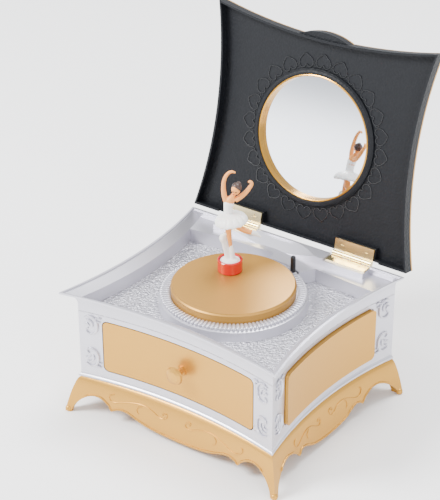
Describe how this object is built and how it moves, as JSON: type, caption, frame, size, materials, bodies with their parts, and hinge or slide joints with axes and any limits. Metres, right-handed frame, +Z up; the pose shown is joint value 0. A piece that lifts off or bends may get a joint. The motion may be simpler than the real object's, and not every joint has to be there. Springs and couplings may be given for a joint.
{
  "type": "wind-up music box",
  "caption": "Silver and gilt wind-up music box with flared feet, mirrored hinged lid, front drawer, fluted stage and a turning dancer.",
  "frame": {"origin": "on the table, under the middle of the box with its lid open", "axes": "+X to the right, +Y to the back, +Z up; the drawer faces -Y and the lid stands open towards +Y"},
  "size_m": [0.1504, 0.1592, 0.2001],
  "materials": {
    "silver": "satin",
    "gilt": "satin",
    "charcoal": "satin",
    "gilt_ring": "satin",
    "mirror": "polished",
    "brass": "satin",
    "steel": "satin",
    "zinc": "cast",
    "inner_plastic": "matte",
    "black_plastic": "satin",
    "magnet": "matte",
    "red_cup": "gloss",
    "white_plastic": "satin"
  },
  "bodies": {
    "case": {"case_shell": "silver", "stand": "gilt", "stand_screws": "steel", "stage_plate": "gilt", "stage_ring": "silver", "side_panel_left": "gilt", "side_panel_right": "gilt", "hinge_case_leaf_left": "brass", "hinge_case_leaf_right": "brass", "hinge_pin_left": "brass", "hinge_pin_right": "brass", "hinge_screws_case": "brass", "movement_bedplate": "zinc", "movement_screws": "steel", "music_comb": "steel", "comb_screws": "steel", "governor_bracket": "zinc", "ratchet_click": "steel", "stop_spring": "steel"},
    "lid": {"lid_shell": "gilt", "lid_liner": "charcoal", "mirror_bezel": "charcoal", "mirror_ring": "gilt_ring", "mirror_inner": "mirror", "mirror_outer": "mirror", "hinge_lid_leaf_left": "brass", "hinge_lid_leaf_right": "brass", "hinge_screws_lid": "brass"},
    "drawer": {"drawer_front": "gilt", "drawer_tray": "inner_plastic", "drawer_knob": "gilt", "knob_screw": "steel"},
    "key": {"winding_key": "steel", "winding_arbor": "steel", "ratchet_wheel": "steel"},
    "barrel": {"spring_barrel": "steel", "barrel_cap": "steel", "drive_shaft": "steel", "magnet_rotor": "inner_plastic", "drive_magnet": "magnet", "mainspring": "steel"},
    "cylinder": {"drive_pinion": "brass", "music_cylinder": "brass", "cylinder_arbor": "steel", "cylinder_gear": "brass"},
    "governor": {"governor_arbor": "steel", "worm_wheel": "brass"},
    "fan": {"worm": "steel", "air_brake": "inner_plastic"},
    "stop": {"stop_pin": "black_plastic", "brake_arm": "steel"},
    "cup": {"base_cup": "red_cup"},
    "dancer": {"figure_base": "white_plastic", "base_magnet": "magnet", "dancer_figure": "white_plastic"}
  },
  "joints": [
    {"name": "lid_hinge", "type": "hinge", "parent": "case", "child": "lid", "pos_m": [0, 0.04545, 0.0777], "axis": [1, 0, 0], "range_deg": [0, 101.2]},
    {"name": "drawer_slide", "type": "slide", "parent": "case", "child": "drawer", "axis": [0, -1, 0], "range_m": [0, 0.03]},
    {"name": "key_turn", "type": "hinge", "parent": "case", "child": "key", "pos_m": [-0.0096, -0.0058, 0.01], "axis": [0, 0, 1], "continuous": true},
    {"name": "barrel_spin", "type": "hinge", "parent": "case", "child": "barrel", "pos_m": [-0.0096, -0.0058, 0.036], "axis": [0, 0, 1], "continuous": true},
    {"name": "cylinder_spin", "type": "hinge", "parent": "case", "child": "cylinder", "pos_m": [0.0142, -0.0058, 0.0452], "axis": [1, 0, 0], "continuous": true},
    {"name": "governor_spin", "type": "hinge", "parent": "case", "child": "governor", "pos_m": [0.0266, 0.0032, 0.0452], "axis": [1, 0, 0], "continuous": true},
    {"name": "fan_spin", "type": "hinge", "parent": "case", "child": "fan", "pos_m": [0.0291, 0.00835, 0.05], "axis": [0, 0, 1], "continuous": true},
    {"name": "stop_slide", "type": "slide", "parent": "case", "child": "stop", "axis": [0, 0, 1], "range_m": [-0.0034, 0], "deforming": ["stop_spring"]},
    {"name": "dancer_lift", "type": "slide", "parent": "case", "child": "cup", "axis": [0, -0.995, 0.0995], "range_m": [0, 0.1025]},
    {"name": "dancer_spin", "type": "hinge", "parent": "cup", "child": "dancer", "pos_m": [-0.0096, -0.0058, 0.085], "axis": [0, 0, 1], "continuous": true}
  ],
  "couplings": [
    {"joint": "cylinder_spin", "follows": "barrel_spin", "ratio": 3},
    {"joint": "governor_spin", "follows": "barrel_spin", "ratio": -15},
    {"joint": "fan_spin", "follows": "barrel_spin", "ratio": -360},
    {"joint": "dancer_spin", "follows": "barrel_spin", "ratio": 1},
    {"joint": "stop_slide", "follows": "lid_hinge", "m_per_rad": -0.001925},
    {"joint": "dancer_lift", "follows": "lid_hinge", "m_per_rad": 0.058032}
  ]
}
